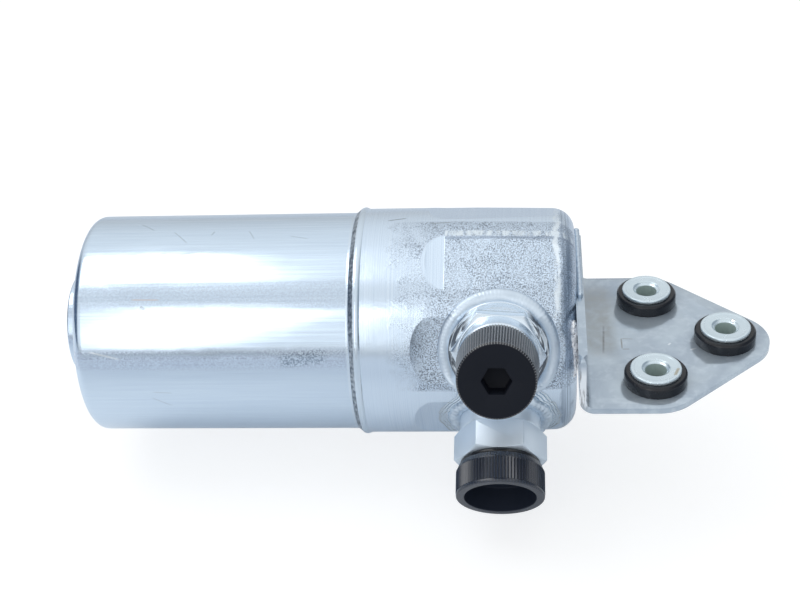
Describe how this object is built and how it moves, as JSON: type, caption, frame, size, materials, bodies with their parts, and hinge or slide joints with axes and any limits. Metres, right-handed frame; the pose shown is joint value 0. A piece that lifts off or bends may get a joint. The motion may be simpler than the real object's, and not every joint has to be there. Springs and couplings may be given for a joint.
{
  "type": "receiver drier",
  "caption": "Welded aluminium can that stores and dries refrigerant, with capped inlet and outlet ports at one end and a rounded triangular bracket on rubber bushes.",
  "frame": {"origin": "on the bore axis of the bracket's tip bush, in the face that seats on the vehicle", "axes": "+Z along the bush bores, away from the seat; +X along the can, from its closed end to the bracket; -Y towards the hose ports"},
  "size_m": [0.2853, 0.1309, 0.0983],
  "materials": {
    "drawn_can": "bright drawn aluminium with fine lines along the can",
    "turned_shell": "satin aluminium, mottled and handled",
    "weld_bead": "as-welded aluminium, rippled",
    "machined_fitting": "bright machined aluminium",
    "bracket_sheet": "rolled aluminium sheet, lightly stained",
    "cap_plastic": "black moulded plastic",
    "seal_rubber": "black rubber",
    "bush_rubber": "black rubber with a mould line",
    "plated_steel": "bright zinc plating",
    "inner_tube": "drawn aluminium tube",
    "inner_steel": "plain pressed steel",
    "felt": "white filter felt",
    "desiccant": "packed beads",
    "strainer_plastic": "natural moulded plastic",
    "strainer_wire": "fine woven wire"
  },
  "bodies": {
    "drier": {"lower_can": "drawn_can", "upper_shell": "turned_shell", "seam_weld": "weld_bead", "outlet_fitting": "machined_fitting", "outlet_weld": "weld_bead", "outlet_seal": "seal_rubber", "inlet_fitting": "machined_fitting", "inlet_weld": "weld_bead", "bracket": "bracket_sheet", "bracket_weld_top": "weld_bead", "bracket_weld_front": "weld_bead", "dip_tube": "inner_tube", "strainer_cage": "strainer_plastic", "strainer_mesh": "strainer_wire", "retainer_plate_top": "inner_steel", "retainer_plate_bottom": "inner_steel", "retainer_spring": "inner_steel", "filter_pad_top": "felt", "filter_pad_bottom": "felt", "desiccant_bed": "desiccant", "bush_washer_tip": "plated_steel", "bush_rubber_tip": "bush_rubber", "bush_sleeve_tip": "plated_steel", "bush_washer_front": "plated_steel", "bush_rubber_front": "bush_rubber", "bush_sleeve_front": "plated_steel", "bush_washer_rear": "plated_steel", "bush_rubber_rear": "bush_rubber", "bush_sleeve_rear": "plated_steel"},
    "outlet_cap_body": {"outlet_cap": "cap_plastic"},
    "inlet_cap_body": {"inlet_cap": "cap_plastic", "inlet_seal": "seal_rubber"}
  },
  "joints": [
    {"name": "outlet_cap_unscrew", "type": "slide", "parent": "drier", "child": "outlet_cap_body", "axis": [0, -0.9455, 0.3256], "range_m": [0, 0.015]},
    {"name": "inlet_cap_unscrew", "type": "slide", "parent": "drier", "child": "inlet_cap_body", "axis": [0, -0.8949, -0.4462], "range_m": [0, 0.015]}
  ]
}
